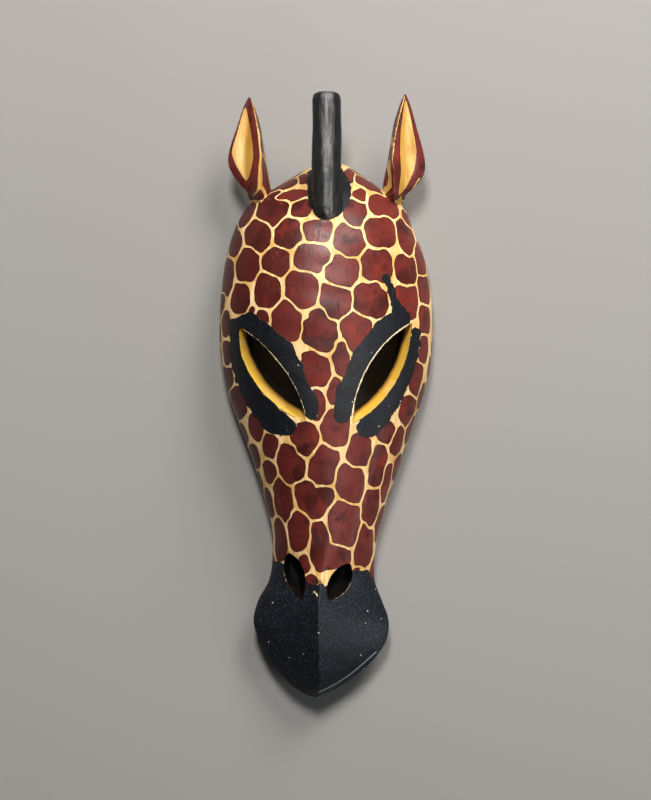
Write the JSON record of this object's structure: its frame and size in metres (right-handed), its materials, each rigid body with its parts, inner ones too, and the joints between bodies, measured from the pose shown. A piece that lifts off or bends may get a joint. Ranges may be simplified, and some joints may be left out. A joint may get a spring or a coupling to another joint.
{
  "type": "animal face mask",
  "caption": "Carved and painted wooden giraffe mask, hollow behind, with a horn, leaf-shaped ears, slanted eye slots and a ridged muzzle, lying on its flat rim.",
  "frame": {"origin": "centre of the bounding box in plan, on the plane of the flat back rim", "axes": "+Y from the muzzle to the horn, +X to the right of the face as it is looked at, +Z out of the face"},
  "size_m": [0.141, 0.3956, 0.068],
  "materials": {
    "painted_wood": "carved wood, brush-painted: maroon spots on a cream-orange ground, satin; blue-black eye bands, horn and muzzle, matt; golden eye walls"
  },
  "bodies": {
    "root": {"mask": "painted_wood"}
  },
  "joints": []
}
